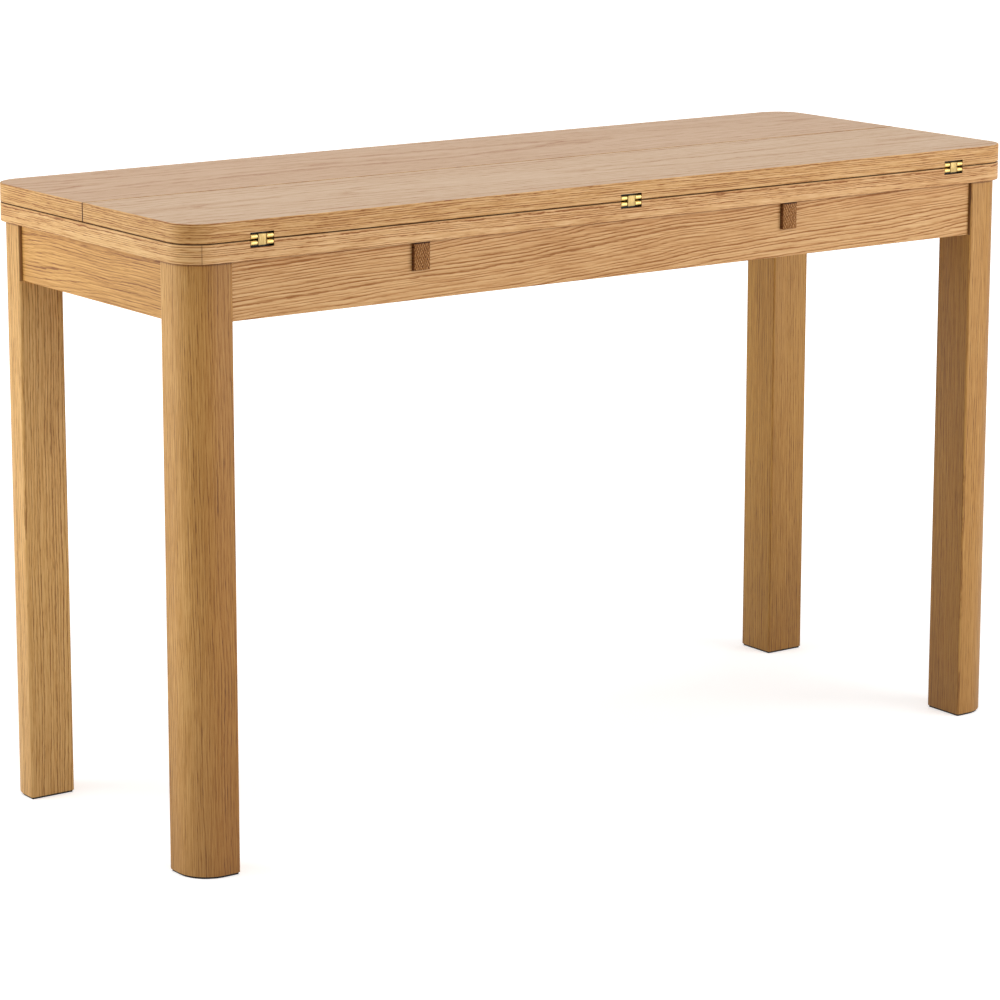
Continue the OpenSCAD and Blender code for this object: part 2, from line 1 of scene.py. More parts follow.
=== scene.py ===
# %% [markdown]
# # An extending oak dining table
# The table is a console when it is closed: a fixed board with two leaves
# folded back on it. Each leaf turns over on brass hinges and comes to lie on two
# supports that pull out of the apron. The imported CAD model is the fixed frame
# here, so every piece below is placed by the numbers of that model, in metres.

# %% Load the frame
import math

import bpy
import bmesh
from mathutils import Matrix, Vector


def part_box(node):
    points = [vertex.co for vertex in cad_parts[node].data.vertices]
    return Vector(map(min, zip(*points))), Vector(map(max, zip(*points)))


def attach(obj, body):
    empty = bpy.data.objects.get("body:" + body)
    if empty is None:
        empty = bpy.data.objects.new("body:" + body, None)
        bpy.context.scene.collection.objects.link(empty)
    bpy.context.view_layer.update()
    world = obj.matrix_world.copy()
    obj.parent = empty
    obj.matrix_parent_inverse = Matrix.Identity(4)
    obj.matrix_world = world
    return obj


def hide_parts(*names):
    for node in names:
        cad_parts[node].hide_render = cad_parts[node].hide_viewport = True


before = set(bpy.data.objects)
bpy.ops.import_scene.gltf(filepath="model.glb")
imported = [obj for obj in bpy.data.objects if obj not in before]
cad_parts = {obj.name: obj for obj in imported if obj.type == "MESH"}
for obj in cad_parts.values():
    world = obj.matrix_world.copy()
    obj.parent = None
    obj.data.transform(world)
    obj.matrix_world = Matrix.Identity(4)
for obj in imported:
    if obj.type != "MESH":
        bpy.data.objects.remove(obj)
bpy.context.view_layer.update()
MM = 0.001

# %% [markdown]
# ## Camera
# The photograph is taken from above the top, some 36 degrees round to the left of
# the front, with a long lens that keeps the legs almost parallel. The camera
# could be aimed by eye. Here its place, turn and focal length come from a
# least-squares fit of the table's corners to the picture. A small vertical shift
# does a part of what a shifted lens does to keep upright legs upright.

# %% Camera
PICTURE_PX = 1000
FOCAL_PX = 3654.8
SENSOR_MM = 36
# Radians
TILT_DOWN, TURN_RIGHT = 0.19637, 0.61967
camera_data = bpy.data.cameras.new("studio_camera")
camera_data.sensor_width = SENSOR_MM
camera_data.lens = SENSOR_MM * FOCAL_PX / PICTURE_PX
camera_data.shift_x = 0.0194
camera_data.shift_y = -0.1
camera_data.clip_end = 100
camera = bpy.data.objects.new("studio_camera", camera_data)
camera.location = (-2.6355, -3.6129, 1.3401)
camera.rotation_euler = (math.pi / 2 - TILT_DOWN, 0, -TURN_RIGHT)
bpy.context.scene.collection.objects.link(camera)
bpy.context.scene.camera = camera
print("lens in mm:", round(camera_data.lens, 1))

# %% [markdown]
# ## Materials, one helper
# A material here is a small tree of nodes. One function adds a node with its
# settings and with what feeds each input, which is either a plain value or the
# output of another node. Colours are written as the hex values of a screen and
# turned to the linear values that a renderer counts in.

# %% Colours and the node helper
def linear(hex_colour):
    """Linear RGBA of an sRGB hex colour such as D8B68C."""
    parts = [int(hex_colour[i:i + 2], 16) / 255 for i in (0, 2, 4)]
    rgb = [c / 12.92 if c <= 0.04045 else ((c + 0.055) / 1.055) ** 2.4 for c in parts]
    return (*rgb, 1)


def add_node(tree, kind, *feeds, out=0, stops=(), **settings):
    """Adds a node and gives back one of its outputs, or with out=None the node.
    Feeds are its inputs in their order, or one dictionary of them by name: plain
    values or outputs of other nodes. Stops are a ramp's places and hex colours."""
    node = tree.nodes.new("ShaderNode" + kind)
    for name, value in settings.items():
        setattr(node, name, value)
    by_name = feeds and isinstance(feeds[0], dict)
    for name, value in feeds[0].items() if by_name else enumerate(feeds):
        if isinstance(value, bpy.types.NodeSocket):
            tree.links.new(value, node.inputs[name])
        else:
            node.inputs[name].default_value = value
    for i in range(2, len(stops)):
        node.color_ramp.elements.new(0.5)
    for element, (at, colour) in zip(node.color_ramp.elements if stops else (), stops):
        element.position, element.color = at, linear(colour)
    return node if out is None else node.outputs[out]


def new_material(name):
    """An empty material: its tree, its shader and its object coordinates."""
    material = bpy.data.materials.new(name)
    material.use_nodes = True
    tree = material.node_tree
    shader = tree.nodes["Principled BSDF"]
    return material, tree, shader, add_node(tree, "TexCoord", out="Object")


print("white is", linear("FFFFFF"))

# %% [markdown]
# ## Oak, sawn from a log
# The boards, aprons and legs are faced with sawn oak veneer under a thin matt
# lacquer. Oak is ring-porous: each spring the tree lays down a row of wide pores,
# and these rows show as dark lines, 2 to 8 mm apart on a face that cuts straight
# through them and wider where it cuts them flat. A picture of oak could be wrapped
# round each board, but here the wood is solid: the distance from the middle of a
# far-off log gives the growth rings, and every face cuts through them. Noise that
# is drawn out along the grain makes the rings wander, gives their lines teeth and
# sets fat years among lean ones.

# %% Growth rings of a log
def streaks(tree, grain, along, across, seed, detail=2.0, wrap=False, out="Fac"):
    """Noise with spots about as long and as wide as these lengths in mm. With
    wrap they also run round the edge of a board, whichever way that faces."""
    place = add_node(tree, "Mapping", {
        "Vector": grain, "Location": (seed, seed * 0.7, -seed),
        "Scale": (1 / along, 1 / across, 1 / (along if wrap else across))})
    return add_node(tree, "TexNoise", {"Vector": place, "Scale": 1.0, "Detail": detail},
                    out=out)


def log_rings(tree, grain, seed, middle, lean=(0, 0), ring=4.0, wander=6.0, jag=1.8,
              tooth=(22, 5), wrap=False):
    """Years from the middle of the log, at any place in the wood. The middle lies
    this far across and below the face in mm, and leans by so much per mm; ring is
    the width of a year and wander how far it strays, in mm; jag and tooth are the
    height and the length and width of the lines' teeth."""
    drift = streaks(tree, grain, 260, 70, seed, wrap=wrap, out="Color")
    drift = add_node(tree, "VectorMath", drift, (0.5, 0.5, 0.5), operation="SUBTRACT")
    moved = add_node(tree, "VectorMath", drift, (0, 2 * wander, 2 * wander), grain,
                     operation="MULTIPLY_ADD")
    along = add_node(tree, "SeparateXYZ", grain)
    centre = add_node(tree, "VectorMath", along, (0, *lean), (0, *middle),
                      operation="MULTIPLY_ADD")
    off = add_node(tree, "VectorMath", moved, centre, operation="SUBTRACT")
    off = add_node(tree, "VectorMath", off, (0, 1, 0 if wrap else 1), operation="MULTIPLY")
    distance = add_node(tree, "VectorMath", off, operation="LENGTH", out="Value")
    teeth = streaks(tree, grain, *tooth, seed + 3.1, wrap=wrap)
    ragged = add_node(tree, "Math", teeth, jag, distance, operation="MULTIPLY_ADD")
    years = add_node(tree, "Math", ragged, ring, operation="DIVIDE")
    fat = add_node(tree, "Math", distance, 0.4 / ring, seed, operation="MULTIPLY_ADD")
    fat = add_node(tree, "TexNoise", {"W": fat, "Scale": 1.0, "Detail": 1.0},
                   noise_dimensions="1D", out="Fac")
    return add_node(tree, "Math", fat, 1.6, years, operation="MULTIPLY_ADD")


print("made:", streaks.__name__, log_rings.__name__)

# %% [markdown]
# ## Spring wood and pores
# Within a year the spring wood starts at once and fades into the summer wood, and
# no line is equally dark from end to end. The pores themselves are 0.3 mm wide,
# too fine for the picture, so they are drawn 0.8 to 2 mm wide.

# %% Spring wood
def spring_wood(tree, grain, rings, seed, whole, wrap):
    """1 in the dark spring wood of a year and 0 in its summer wood. Whole says how
    unbroken the dark lines are."""
    year = add_node(tree, "Math", rings, operation="FLOOR")
    season = add_node(tree, "Math", rings, operation="FRACT")
    spring = add_node(tree, "ValToRGB", season, stops=(
        (0.0, "4A4A4A"), (0.1, "FFFFFF"), (0.24, "E4E4E4"), (0.46, "5C5C5C"),
        (0.8, "000000"), (1.0, "4A4A4A")))
    strength = add_node(tree, "TexWhiteNoise", {"W": year}, noise_dimensions="1D",
                        out="Value")
    strength = add_node(tree, "Math", strength, 0.7, 0.4, operation="MULTIPLY_ADD")
    patchy = streaks(tree, grain, 60, 12, seed + 7.7, wrap=wrap)
    patchy = add_node(tree, "Math", patchy, 2.4, whole - 0.65, operation="MULTIPLY_ADD",
                      use_clamp=True)
    spring = add_node(tree, "Math", spring, strength, operation="MULTIPLY")
    return add_node(tree, "Math", spring, patchy, operation="MULTIPLY")


def open_pores(tree, grain, spring, seed, dash, wrap):
    """1 in a pore. Dash is the length and width of one in mm, and the spring wood
    has more of them."""
    pores = streaks(tree, grain, *dash, seed + 1.9, wrap=wrap)
    pores = add_node(tree, "MapRange", pores, 0.5, 0.62, 0.0, 1.0)
    in_spring = add_node(tree, "Math", spring, 0.6, 0.4, operation="MULTIPLY_ADD")
    return add_node(tree, "Math", pores, in_spring, operation="MULTIPLY")


print("made:", spring_wood.__name__, open_pores.__name__)

# %% [markdown]
# ## Dark places: painted shade
# Shade that the lamps don't give is painted into the wood where two parts meet,
# and one joint line is darker in its own right. Such a place is a box in space:
# inside it the colour is darker, and softly less so towards its sides. A box needs
# no painting on the mesh, and it may be as thin as the seam between two boards.

# %% Darken the wood inside a box
def shade_box(tree, place, colour, light, *spans):
    """Darkens the colour where X, Y and Z in mm lie in the spans, each a low end,
    a high end and how softly it starts and stops. X and Y count on both sides of
    the table, unless the low end is below zero."""
    apart = add_node(tree, "SeparateXYZ", place, out=None).outputs
    inside = None
    for axis, (low, high, soft) in enumerate(spans):
        size = add_node(tree, "Math", apart[axis], 1000, operation="MULTIPLY")
        if axis < 2 and low >= 0:
            size = add_node(tree, "Math", size, operation="ABSOLUTE")
        off = add_node(tree, "Math", size, (low + high) / 2, operation="SUBTRACT")
        off = add_node(tree, "Math", off, operation="ABSOLUTE")
        half = (high - low) / 2
        part = add_node(tree, "MapRange", off, half - soft, half, 1.0, 0.0)
        inside = part if inside is None else add_node(
            tree, "Math", inside, part, operation="MULTIPLY")
    brown = (light, light ** 1.2, light ** 1.5, 1)
    return add_node(tree, "MixRGB", inside, colour, brown, blend_type="MULTIPLY")


print("made:", shade_box.__name__)

# %% [markdown]
# ## One height for colour, gloss and bump
# Added up, the spring lines, the pores, fine fibres and a slow change of tone give
# one height. It sets the colour, from pale summer wood to dark pores, and where it
# is high the lacquer has sunk in a little, which the bump and the roughness follow.

# %% Oak
def make_oak(name, turn, seed, colours, log, line=0.6, fleck=0.35, fibre=1.1, tone=0.5,
             dash=(30, 0.9), whole=0.6, rough=0.56, shades=(), sides=(1, 1, 1)):
    """Oak whose grain runs along local X after turn. Colours go from pale to dark.
    Line, fleck, fibre and tone are the shares of ring lines, pores, fibres and slow
    changes. Dash and whole are told to the pores and the spring wood, rough is how
    dull the lacquer is, and shades are boxes for shade_box, of painted shade or of a
    dark joint. Sides is a tint in red, green and blue for the faces to the left and
    right, painted light and shade that the lamps don't give, where 1 changes nothing."""
    material, tree, shader, place = new_material(name)
    wrap = log.get("wrap", False)
    grain = add_node(tree, "Mapping", {
        "Vector": place, "Rotation": turn, "Scale": (1000, 1000, 1000)})
    rings = log_rings(tree, grain, seed, **log)
    spring = spring_wood(tree, grain, rings, seed, whole, wrap)
    pores = open_pores(tree, grain, spring, seed, dash, wrap)
    fibres = streaks(tree, grain, dash[0] * 3, dash[1] * 1.1, seed + 5.3, 3.0, wrap)
    slow = streaks(tree, grain, 420, 60, seed + 9.2, 1.0, wrap)
    height = 0.2 - 0.5 * (fibre + tone)
    for part, share in ((spring, line), (pores, fleck), (fibres, fibre), (slow, tone)):
        height = add_node(tree, "Math", part, share, height, operation="MULTIPLY_ADD")
    height = add_node(tree, "Math", height, 0.0, operation="ADD", use_clamp=True)
    colour = add_node(tree, "ValToRGB", height, stops=(
        (0.0, colours[0]), (0.42, colours[1]), (0.85, colours[2])))
    # Painted light and shade: the faces to the left and right get a tint of their own
    facing = add_node(tree, "SeparateXYZ", add_node(tree, "TexCoord", out="Normal"))
    facing = add_node(tree, "Math", facing, facing, operation="MULTIPLY")
    tint = add_node(tree, "MixRGB", facing, (1, 1, 1, 1), (*sides, 1))
    colour = add_node(tree, "VectorMath", colour, tint, operation="MULTIPLY")
    for shade in shades:
        colour = shade_box(tree, place, colour, *shade)
    tree.links.new(colour, shader.inputs["Base Color"])
    gloss = add_node(tree, "Math", height, 0.12, rough - 0.03, operation="MULTIPLY_ADD")
    tree.links.new(gloss, shader.inputs["Roughness"])
    bump = add_node(tree, "Bump", {"Strength": 0.5, "Distance": 0.0002, "Height": height},
                    invert=True)
    tree.links.new(bump, shader.inputs["Normal"])
    shader.inputs["IOR"].default_value = 1.5
    return material


print("made:", make_oak.__name__)

# %% [markdown]
# Each part is sawn from its own place in a log, so no two carry the same figure.
# The top is paler than the edges and the legs are browner, partly as veneers of
# different logs are and partly as painted light: the top's palette holds some of
# the lacquer's pale sheen, and each leg's palette some of the light it gets. Painted
# shade darkens the wood along the seams between the boards, in the hinge pockets,
# just under the top, in the narrow corners beside the aprons and, little by little,
# towards the feet. The butt joint of the lower edge band is a dark joint line.

# %% Tops and edge bands
ALONG_X = (0, 0, 0)
ALONG_X_UPRIGHT = (math.pi / 2, 0, 0)
ALONG_Y = (math.pi / 2, math.pi / 2, 0)
ALONG_Z = (0, math.pi / 2, 0)
# Oak from pale to dark
# The top's pale palette is partly its own tone and partly painted sheen of the lacquer's
# reflection
TOP = ("CEAE8B", "BD976F", "A06A39")
TOP_REAR = ("C9A480", "B78E65", "9A6132")
EDGE = ("DEB076", "C69252", "8A4E0F")
EDGE_LOWER = ("E6BA84", "CE9A5E", "8E5214")
# Painted shade and one dark joint line: how light it stays, then the spans in X, Y and Z in
# mm
ANYWHERE = (-800, 800, 0.1)
HINGES_AT, POCKET_HALF = (0, 515), 15.7
# Painted shade in the hinge pockets
PAINTED_SHADE_IN_POCKETS = [(0.03, (x - POCKET_HALF, x + POCKET_HALF, 0.1), (219, 225.4, 0.1),
            (718.5, 736.5, 0.1)) for x in HINGES_AT]
# Painted shade in the seam between the board and the leaves, and in the gap between the
# leaves
PAINTED_SHADE_IN_SEAM = (0.3, ANYWHERE, ANYWHERE, (726.4, 728.6, 0.6))
PAINTED_SHADE_IN_LEAF_GAP = (0.3, ANYWHERE, (-1.6, 1.6, 0.6), (727, 751, 0.1))
# Painted shade in the seam on the top between the leaves, stronger towards the right end
PAINTED_SHADE_IN_TOP_GAP = (0.55, (-900, 1900, 1400), (-2.4, 2.4, 1.2), (749, 751, 0.1))
BUTT_JOINT = (0.68, (-591.9, -589.7, 0.8), (-227, -220, 0.1), ANYWHERE)

top_look = dict(line=0.42, fleck=0.4, fibre=0.8, tone=0.25, dash=(16, 2), whole=0.25,
                rough=0.46, shades=(*PAINTED_SHADE_IN_POCKETS, PAINTED_SHADE_IN_TOP_GAP))
top_log = dict(ring=8, wander=9, jag=3.5, tooth=(26, 4))
top_front = make_oak("oak_veneer_front_leaf", ALONG_X, 2.3, TOP, dict(
    middle=(-110, 690), lean=(0.01, 0.02), **top_log), **top_look)
top_rear = make_oak("oak_veneer_rear_leaf", ALONG_X, 8.6, TOP_REAR, dict(
    middle=(120, 680), lean=(-0.01, -0.025), **top_log), **top_look)
top_fixed = make_oak("oak_veneer_fixed_board", ALONG_X, 5.1, TOP, dict(
    middle=(40, 640), lean=(0.02, 0.03), **top_log), **top_look)
# On the ends of the table the bands are tinted a little darker and yellower: painted shade
edge_look = dict(line=0.76, fleck=0.45, fibre=1.6, dash=(16, 1.1), whole=0.6,
                 sides=(0.96, 0.96, 0.8))
edge_log = dict(wander=3, jag=2.2, tooth=(12, 3), wrap=True)
edge_upper = make_oak("oak_edge_band_leaves", ALONG_X_UPRIGHT, 1.4, EDGE, dict(
    middle=(-900, 0), ring=2.9, **edge_log), shades=(*PAINTED_SHADE_IN_POCKETS, PAINTED_SHADE_IN_SEAM, PAINTED_SHADE_IN_LEAF_GAP),
    **edge_look)
edge_lower = make_oak("oak_edge_band_fixed_board", ALONG_X_UPRIGHT, 6.2, EDGE_LOWER, dict(
    middle=(-650, 0), ring=3.1, **edge_log), shades=(*PAINTED_SHADE_IN_POCKETS, PAINTED_SHADE_IN_SEAM, BUTT_JOINT),
    **dict(edge_look, line=0.88))
print("top and edges:", top_front.name, edge_upper.name)

# %% Aprons
APRON = ("E1B47B", "C69156", "945A19")
# The short aprons on the ends have a darker palette: painted shade
APRON_END_PAINTED_SHADE = ("D8A457", "BC863A", "834D10")
# Painted shadow just under the top, on the aprons and the tops of the legs
PAINTED_SHADE_UNDER_TOP = (0.4, ANYWHERE, ANYWHERE, (702, 708, 2))

apron_look = dict(line=0.86, fleck=0.3, fibre=1.4, tone=0.4, dash=(24, 1.1), whole=0.8,
                  shades=(PAINTED_SHADE_UNDER_TOP,))
apron_log = dict(wander=11, jag=1.8, tooth=(16, 4))
apron_long = make_oak("oak_apron_long", ALONG_X_UPRIGHT, 3.7, APRON, dict(
    middle=(-180, -60), lean=(-0.06, 0.02), ring=4.2, **apron_log), **apron_look)
apron_short = make_oak("oak_apron_short", ALONG_Y, 9.9, APRON_END_PAINTED_SHADE, dict(
    middle=(100, 0), lean=(0.03, 0), ring=3.4, **apron_log), **dict(apron_look, line=0.5))
print("aprons:", apron_long.name, apron_short.name)

# %% [markdown]
# The light in the photograph falls on each leg in another way than three lamps can
# give, so the legs' faces to the left and right have a tint of their own.

# %% Legs
# Each leg has its own palette, partly its own tone and partly painted light that the lamps
# don't give
LEG = ("B6823B", "9D6721", "6E410D")
LEG_FRONT_RIGHT = ("C6944C", "AC7730", "784B14")
LEG_REAR_RIGHT = ("B9893E", "A06E26", "714710")
LEG_REAR_LEFT = ("DDB16F", "C1904B", "8C5F25")
# Painted shade towards the feet and in the narrow corners beside the aprons
PAINTED_SHADE_NEAR_FLOOR = (0.79, ANYWHERE, ANYWHERE, (-300, 300, 300))
PAINTED_SHADE_BESIDE_FRONT = (0.45, (549.5, 551.4, 0.1), (216.5, 221.2, 0.4), (637, 706, 0.1))
PAINTED_SHADE_BESIDE_END = (0.45, (604.5, 609.2, 0.4), (161.8, 163.5, 0.1), (637, 706, 0.1))

leg_look = dict(fleck=0.34, fibre=1.35, tone=0.5, dash=(19, 0.9),
                shades=(PAINTED_SHADE_UNDER_TOP, PAINTED_SHADE_BESIDE_FRONT, PAINTED_SHADE_BESIDE_END, PAINTED_SHADE_NEAR_FLOOR))
# Middle of the log, colours, tint of the side faces as painted light, and share of ring
# lines
LEG_LOGS = (
    ((308, 1030), LEG, (1.47, 1.76, 2.75), 0.36),
    ((-692, -180), LEG_FRONT_RIGHT, (0.73, 0.69, 0.45), 0.36),
    ((642, 80), LEG_REAR_LEFT, (1.14, 1.16, 1.21), 0.6),
    ((-288, -1030), LEG_REAR_RIGHT, (1.06, 1.08, 0.95), 0.36))
leg_oak = []
for i, (middle, colours, sides, line) in enumerate(LEG_LOGS):
    log = dict(middle=middle, lean=(0.01, 0.004), ring=2.8, wander=5, jag=2.0, tooth=(14, 3))
    leg_oak.append(make_oak("oak_leg_" + str(i), ALONG_Z, 4.4 + 2.9 * i, colours, log,
                            sides=sides, line=line, **leg_look))
print("oak materials:", len([m for m in bpy.data.materials if "oak" in m.name]))

# %% [markdown]
# ## Dark supports with end grain
# The pull-out supports are stained darker, and their sawn ends drink most stain.
# What shows there is end grain: growth rings cut across, and the pale rays that
# cross them. Two rows of fine lines, one each way, draw both. They are drawn about
# 3 mm apart, coarser than real rays, so that they show. The material tells an end
# from a side by which way the surface faces.

# %% Stained oak
SUPPORT = ("B07642", "885630", "55300F")
support_oak = make_oak("oak_support", ALONG_Y, 7.1, SUPPORT, dict(
    middle=(-400, 0), ring=2.2, wander=1.5, jag=1.2), fleck=0.5, dash=(30, 0.8))
tree = support_oak.node_tree
shader = tree.nodes["Principled BSDF"]
place = add_node(tree, "TexCoord", out="Object")
sides = shader.inputs["Base Color"].links[0].from_socket
# Painted shade on the bar's sides near its end, where they stand out of the apron
sides = shade_box(tree, place, sides, 0.4, ANYWHERE, (213, 224, 3), (670, 708, 0.1))
# The sawn ends soak the lacquer up and hardly shine
shader.inputs["Specular IOR Level"].default_value = 0.2
print("supports:", support_oak.name)

# %% End grain on the sawn ends
facing = add_node(tree, "TexCoord", out="Normal")
facing = add_node(tree, "Math", add_node(tree, "SeparateXYZ", facing, out=1),
                  operation="ABSOLUTE")
lines = 0.0
# How far the lines lean in radians, how far apart they are in mm, and their share
for lean, pitch, share in ((-0.4, 2.7, 0.17), (0.55, 3.3, 0.09)):
    slope = 2 * math.pi / (pitch * MM)
    wave = add_node(tree, "VectorMath", place, (
        math.cos(lean) * slope, 0, math.sin(lean) * slope), operation="DOT_PRODUCT",
        out="Value")
    wobble = add_node(tree, "TexNoise", {"Vector": place, "Scale": 200.0}, out="Fac")
    wave = add_node(tree, "Math", wobble, 8.0, wave, operation="MULTIPLY_ADD")
    wave = add_node(tree, "Math", wave, operation="SINE")
    lines = add_node(tree, "Math", wave, share, lines, operation="MULTIPLY_ADD")
speckle = add_node(tree, "TexNoise", {"Vector": place, "Scale": 900.0}, out="Fac")
lines = add_node(tree, "Math", speckle, 0.9, lines, operation="MULTIPLY_ADD")
ends = add_node(tree, "ValToRGB", lines, stops=(
    (0.2, "5C3511"), (0.5, "935D28"), (0.85, "CA9A65")))
# Painted shadow along the top of the sawn ends, under the board
ends = shade_box(tree, place, ends, 0.2, ANYWHERE, ANYWHERE, (702, 708, 0.8))
colour = add_node(tree, "MixRGB", facing, sides, ends)
tree.links.new(colour, shader.inputs["Base Color"])
print("support ends:", colour.node.name)

# %% [markdown]
# ## Beech, brass, steel, rubber and felt
# The frame under the top is plain planed beech: pinkish tan with the short darker
# flecks of its rays. The hinges are turned and stamped brass. Turning leaves fine
# rings round the knuckles, and the links are brushed across and duller. Both kinds
# of marks are drawn half a millimetre apart, coarser than real ones. Screws and
# brackets are zinc-plated steel with a cloudy grey gloss, the pads moulded black
# rubber, and the bumpers pressed wool felt, which has a pale fuzz at its edges.

# %% Beech frame
def make_beech(name, turn, seed):
    """Planed beech whose grain runs along local X after turn."""
    material, tree, shader, place = new_material(name)
    grain = add_node(tree, "Mapping", {
        "Vector": place, "Rotation": turn, "Scale": (1000, 1000, 1000)})
    tone = streaks(tree, grain, 160, 9, seed)
    colour = add_node(tree, "ValToRGB", tone, stops=((0.3, "E2C49D"), (0.7, "CDA87C")))
    # Ray flecks 2 to 4 mm long
    rays = streaks(tree, grain, 3.5, 0.5, seed + 2)
    rays = add_node(tree, "MapRange", rays, 0.58, 0.68, 0.0, 0.55)
    colour = add_node(tree, "MixRGB", rays, colour, linear("A9784B"))
    tree.links.new(colour, shader.inputs["Base Color"])
    rough = add_node(tree, "Math", tone, 0.2, 0.45, operation="MULTIPLY_ADD")
    tree.links.new(rough, shader.inputs["Roughness"])
    bump = add_node(tree, "Bump", {"Strength": 0.3, "Distance": 0.0002, "Height": rays},
                    invert=True)
    tree.links.new(bump, shader.inputs["Normal"])
    shader.inputs["IOR"].default_value = 1.5
    return material


beech_rail = make_beech("beech_guide_rails", ALONG_Y, 1.0)
beech_keeper = make_beech("beech_keepers", ALONG_X, 4.0)
beech_block = make_beech("beech_corner_blocks", (0, 0, math.pi / 4), 7.0)
print("beech:", beech_rail.name, beech_keeper.name, beech_block.name)

# %% Brass and steel
def make_metal(name, light, dark, rough, marks, depth):
    """Metal with marks this long in mm along X, Y and Z, and roughness rough
    in the clean parts; the marks change colour, gloss and, by depth, height."""
    material, tree, shader, place = new_material(name)
    stretched = add_node(tree, "Mapping", {
        "Vector": place, "Scale": tuple(1000 / length for length in marks)})
    scratch = add_node(tree, "TexNoise", {
        "Vector": stretched, "Scale": 1.0, "Detail": 3.0}, out="Fac")
    colour = add_node(tree, "ValToRGB", scratch, stops=((0.35, light), (0.7, dark)))
    tree.links.new(colour, shader.inputs["Base Color"])
    gloss = add_node(tree, "MapRange", scratch, 0.35, 0.7, rough, rough + 0.14)
    tree.links.new(gloss, shader.inputs["Roughness"])
    bump = add_node(tree, "Bump", {"Strength": 0.25, "Distance": depth, "Height": scratch})
    tree.links.new(bump, shader.inputs["Normal"])
    shader.inputs["Metallic"].default_value = 1.0
    return material


brass = make_metal("brass_turned", "DFC27E", "C7A45E", 0.3, (0.5, 8, 8), 0.00003)
brass_flat = make_metal("brass_brushed_link", "B39A66", "977E4D", 0.4, (0.5, 6, 6), 0.00003)
zinc = make_metal("steel_zinc_plated", "CBCDCC", "ABB1B6", 0.28, (4, 4, 4), 0.00005)
print("metals:", brass.name, brass_flat.name, zinc.name)

# %% Rubber and felt
rubber, tree, shader, place = new_material("rubber_moulded_black")
grit = add_node(tree, "TexNoise", {"Vector": place, "Scale": 1200.0, "Detail": 2.0},
                out="Fac")
tree.links.new(add_node(tree, "ValToRGB", grit, stops=((0.3, "0B0B0C"), (0.7, "161618"))),
               shader.inputs["Base Color"])
tree.links.new(add_node(tree, "MapRange", grit, 0.3, 0.7, 0.6, 0.8),
               shader.inputs["Roughness"])
shader.inputs["Specular IOR Level"].default_value = 0.3
felt, tree, shader, place = new_material("wool_felt_pressed")
# Fibres are drawn 0.6 mm apart, twenty times their width
fibres = add_node(tree, "TexNoise", {"Vector": place, "Scale": 1600.0, "Detail": 4.0,
                                     "Distortion": 1.5}, out="Fac")
tree.links.new(add_node(tree, "ValToRGB", fibres, stops=((0.3, "BDB5A6"), (0.7, "E6E0D4"))),
               shader.inputs["Base Color"])
tree.links.new(add_node(tree, "Bump", {"Strength": 0.6, "Distance": 0.0003,
                                       "Height": fibres}), shader.inputs["Normal"])
shader.inputs["Roughness"].default_value = 0.95
shader.inputs["Sheen Weight"].default_value = 0.4
print("pads:", rubber.name, felt.name)

# %% Hand the finishes to the CAD nodes
FINISH = {
    "fixed_board": top_fixed, "front_leaf": top_front, "rear_leaf": top_rear,
    "fixed_board_edging": edge_lower, "front_leaf_edging": edge_upper,
    "rear_leaf_edging": edge_upper, "apron_front": apron_long,
    "apron_rear": apron_long, "apron_left": apron_short, "apron_right": apron_short,
    "leg_front_left": leg_oak[0], "leg_front_right": leg_oak[1],
    "leg_rear_left": leg_oak[2], "leg_rear_right": leg_oak[3],
}
# Other nodes get their finish by a word in their name, and beech if none fits
BY_WORD = (("foot_pad", rubber), ("bumpers", felt), ("hinge", brass), ("bolt", zinc),
           ("screw", zinc), ("bracket", zinc), ("keeper", beech_keeper),
           ("corner_block", beech_block), ("support_", support_oak))
for node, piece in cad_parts.items():
    fitting = [material for word, material in BY_WORD if word in node]
    finish = FINISH.get(node) or (fitting + [beech_rail])[0]
    for slot in piece.material_slots:
        slot.material = finish
print("finished nodes:", len(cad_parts))

# %% [markdown]
# ## Modelling by hand, in code
# Each new piece starts as a primitive at its real size and place. Edges and
# faces are then picked by where they lie and given to the same operators that
# Blender's menus offer, and the piece is finished with modifiers. An operator
# acts on all that is selected, so a piece is first made the only one.

# %% Start a piece
def only(piece):
    """Selects this piece and nothing else."""
    bpy.ops.object.select_all(action="DESELECT")
    piece.select_set(True)
    bpy.context.view_layer.objects.active = piece


def settle(piece):
    """Works the place, turn and size of the object into its mesh."""
    only(piece)
    bpy.ops.object.transform_apply(location=True, rotation=True, scale=True)


def block(name, low, high):
    """A cube from the low corner to the high corner, in metres."""
    low, high = Vector(low), Vector(high)
    bpy.ops.mesh.primitive_cube_add(size=1, location=(low + high) / 2, scale=high - low)
    piece = bpy.context.object
    piece.name = name
    settle(piece)
    return piece


def rod(name, radius, middle, length, axis="Z", sides=48):
    """A cylinder on a middle point, along X, Y or Z."""
    turn = {"X": (0, math.pi / 2, 0), "Y": (math.pi / 2, 0, 0), "Z": (0, 0, 0)}[axis]
    bpy.ops.mesh.primitive_cylinder_add(vertices=sides, radius=radius, depth=length,
                                        location=middle, rotation=turn)
    piece = bpy.context.object
    piece.name = name
    settle(piece)
    return piece


print("made:", block.__name__, rod.__name__)

